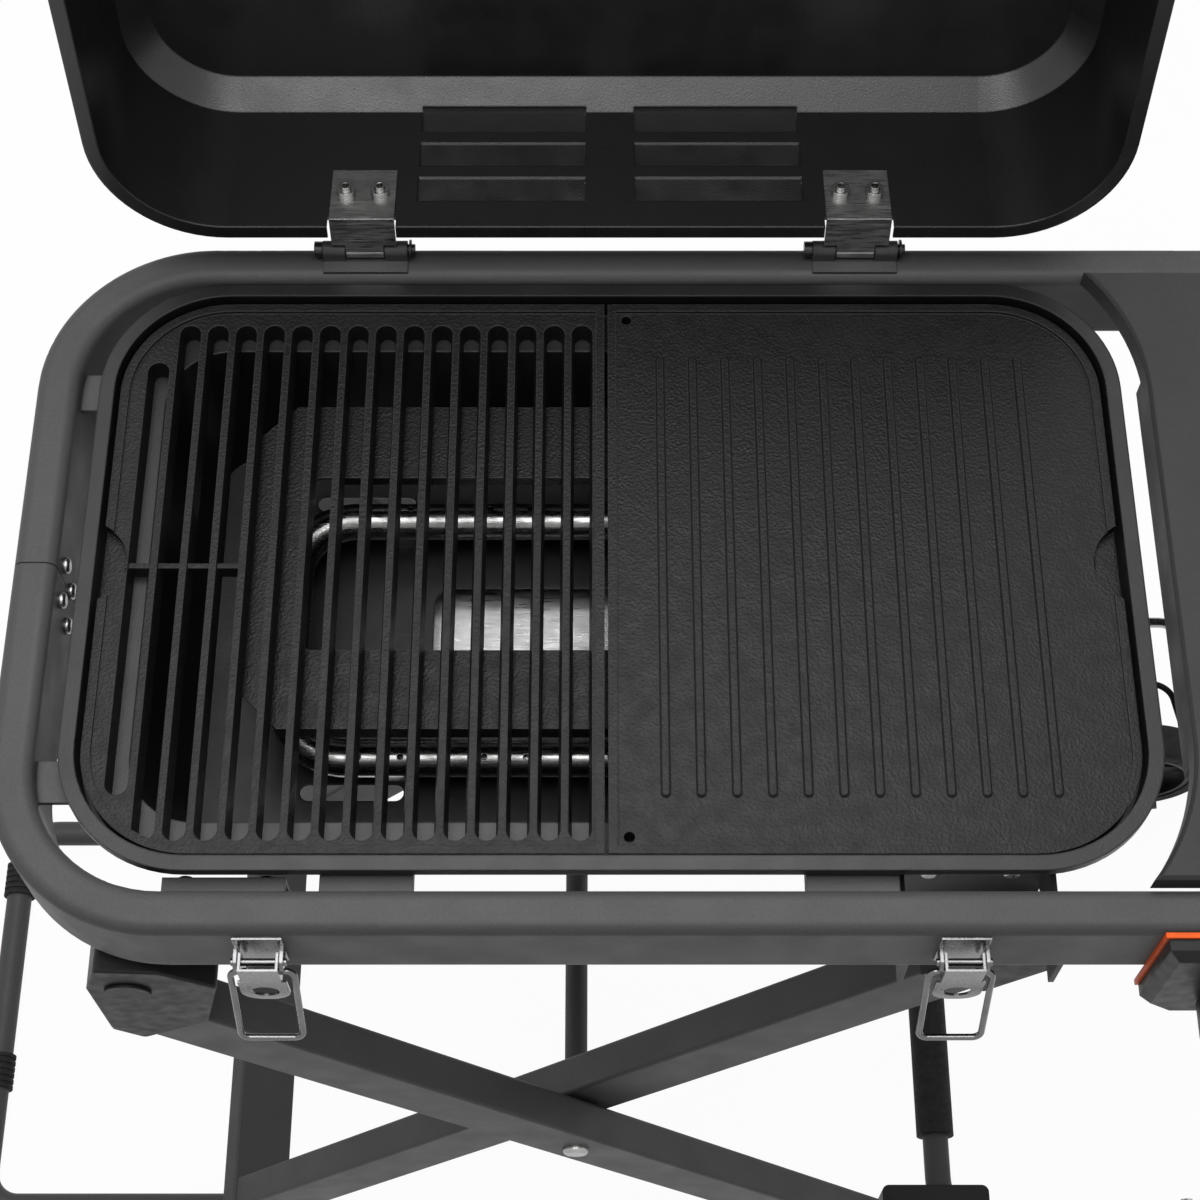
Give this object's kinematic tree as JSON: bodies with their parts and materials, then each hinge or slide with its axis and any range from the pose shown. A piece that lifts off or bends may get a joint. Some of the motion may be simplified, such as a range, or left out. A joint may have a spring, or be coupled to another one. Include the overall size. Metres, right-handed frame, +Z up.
{
  "type": "gas grill",
  "caption": "Portable gas grill with an open hinged lid, slotted grate and ribbed griddle, side shelf, draw latches and a folding scissor stand on a hoop foot and wheels.",
  "frame": {"origin": "on the floor, at the middle of the box around the grill with its lid open", "axes": "+Z up, -Y to the front where the cook stands, +X to the side shelf"},
  "size_m": [1.097, 0.6278, 1.2951],
  "materials": {
    "frame_grey": "powder coat",
    "black_steel": "satin",
    "shelf_grey": "powder coat",
    "cast_plate": "matte",
    "tamer_black": "matte",
    "stainless": "brushed",
    "chrome": "polished",
    "zinc": "satin",
    "black_plastic": "matte",
    "orange_plastic": "satin",
    "rubber": "matte",
    "tyre": "matte",
    "brass": "satin",
    "aluminium": "satin"
  },
  "bodies": {
    "frame": {"frame_front": "frame_grey", "frame_rear": "frame_grey", "frame_splices": "zinc", "splice_screws": "frame_grey", "firebox": "black_steel", "firebox_brackets": "frame_grey", "flame_tamer": "tamer_black", "burner": "stainless", "burner_supports": "zinc", "electrode": "zinc", "ignition_wire": "black_plastic", "gas_pipe": "stainless", "valve_body": "brass", "gas_inlet": "brass", "shelf": "shelf_grey", "shelf_rails": "frame_grey", "control_housing": "black_plastic", "control_trim": "orange_plastic", "hinge_frame_leaves": "frame_grey", "hinge_pins": "black_steel", "latch_bases": "chrome", "pivot_brackets": "frame_grey", "rest_brackets": "frame_grey", "bracket_screws": "frame_grey", "top_bolts": "black_plastic", "tray_rails": "zinc"},
    "lid": {"lid": "black_steel", "lid_hinge_leaves": "zinc", "lid_rivets": "zinc", "lid_handle": "stainless", "handle_posts": "black_plastic", "latch_keepers": "chrome"},
    "grate": {"grate": "cast_plate"},
    "griddle": {"griddle": "cast_plate"},
    "drip_tray": {"drip_tray": "aluminium"},
    "knob": {"knob": "black_plastic", "valve_stem": "brass"},
    "latch_lever_left": {"latch_lever_left": "chrome"},
    "latch_lever_right": {"latch_lever_right": "chrome"},
    "latch_bail_left": {"latch_bail_left": "chrome"},
    "latch_bail_right": {"latch_bail_right": "chrome"},
    "outer_legs": {"legs_outer": "frame_grey", "leg_caps_outer": "black_plastic", "pivot_bolts": "zinc", "leg_spacers": "black_plastic", "pivot_tube": "frame_grey", "foot_blocks": "black_plastic", "wheel_yoke": "frame_grey", "yoke_grip": "rubber", "axles": "zinc"},
    "inner_legs": {"legs_inner": "frame_grey", "leg_caps_inner": "black_plastic", "foot_bar": "frame_grey", "bar_plugs": "black_plastic", "hoop": "frame_grey", "hoop_rings": "rubber"},
    "wheel_front": {"wheel_tyre_front": "tyre", "wheel_hub_front": "black_plastic"},
    "wheel_rear": {"wheel_tyre_rear": "tyre", "wheel_hub_rear": "black_plastic"}
  },
  "joints": [
    {"name": "lid_hinge", "type": "hinge", "parent": "frame", "child": "lid", "pos_m": [-0.0005, 0.14545, 0.875], "axis": [1, 0, 0], "range_deg": [0, 100]},
    {"name": "grate_lift", "type": "slide", "parent": "frame", "child": "grate", "axis": [0, 0, 1], "range_m": [0, 0.08]},
    {"name": "griddle_lift", "type": "slide", "parent": "frame", "child": "griddle", "axis": [0, 0, 1], "range_m": [0, 0.08]},
    {"name": "tray_slide", "type": "slide", "parent": "frame", "child": "drip_tray", "axis": [0, -1, 0], "range_m": [0, 0.15]},
    {"name": "knob_turn", "type": "hinge", "parent": "frame", "child": "knob", "pos_m": [0.3395, -0.30385, 0.802], "axis": [0, -1, 0], "range_deg": [0, 180]},
    {"name": "lever_left", "type": "hinge", "parent": "frame", "child": "latch_lever_left", "pos_m": [-0.1835, -0.28405, 0.846], "axis": [1, 0, 0], "range_deg": [-100, 0]},
    {"name": "bail_left", "type": "hinge", "parent": "latch_lever_left", "child": "latch_bail_left", "pos_m": [-0.1835, -0.28505, 0.834], "axis": [-1, 0, 0], "range_deg": [-18.7, 169.2]},
    {"name": "lever_right", "type": "hinge", "parent": "frame", "child": "latch_lever_right", "pos_m": [0.1825, -0.28405, 0.846], "axis": [1, 0, 0], "range_deg": [-100, 0]},
    {"name": "bail_right", "type": "hinge", "parent": "latch_lever_right", "child": "latch_bail_right", "pos_m": [0.1825, -0.28505, 0.834], "axis": [-1, 0, 0], "range_deg": [-18.7, 169.2]},
    {"name": "stand_fold", "type": "hinge", "parent": "frame", "child": "outer_legs", "pos_m": [-0.2675, -0.06105, 0.764], "axis": [0, -1, 0], "range_deg": [0, 40]},
    {"name": "stand_cross", "type": "hinge", "parent": "outer_legs", "child": "inner_legs", "pos_m": [-0.0235, -0.06105, 0.391], "axis": [0, -1, 0], "range_deg": [-80, 0]},
    {"name": "wheel_front_spin", "type": "hinge", "parent": "outer_legs", "child": "wheel_front", "pos_m": [0.4835, -0.28005, 0.06], "axis": [0, 1, 0], "continuous": true},
    {"name": "wheel_rear_spin", "type": "hinge", "parent": "outer_legs", "child": "wheel_rear", "pos_m": [0.4835, 0.15795, 0.06], "axis": [0, 1, 0], "continuous": true}
  ],
  "couplings": [
    {"joint": "stand_cross", "follows": "stand_fold", "ratio": -2}
  ]
}
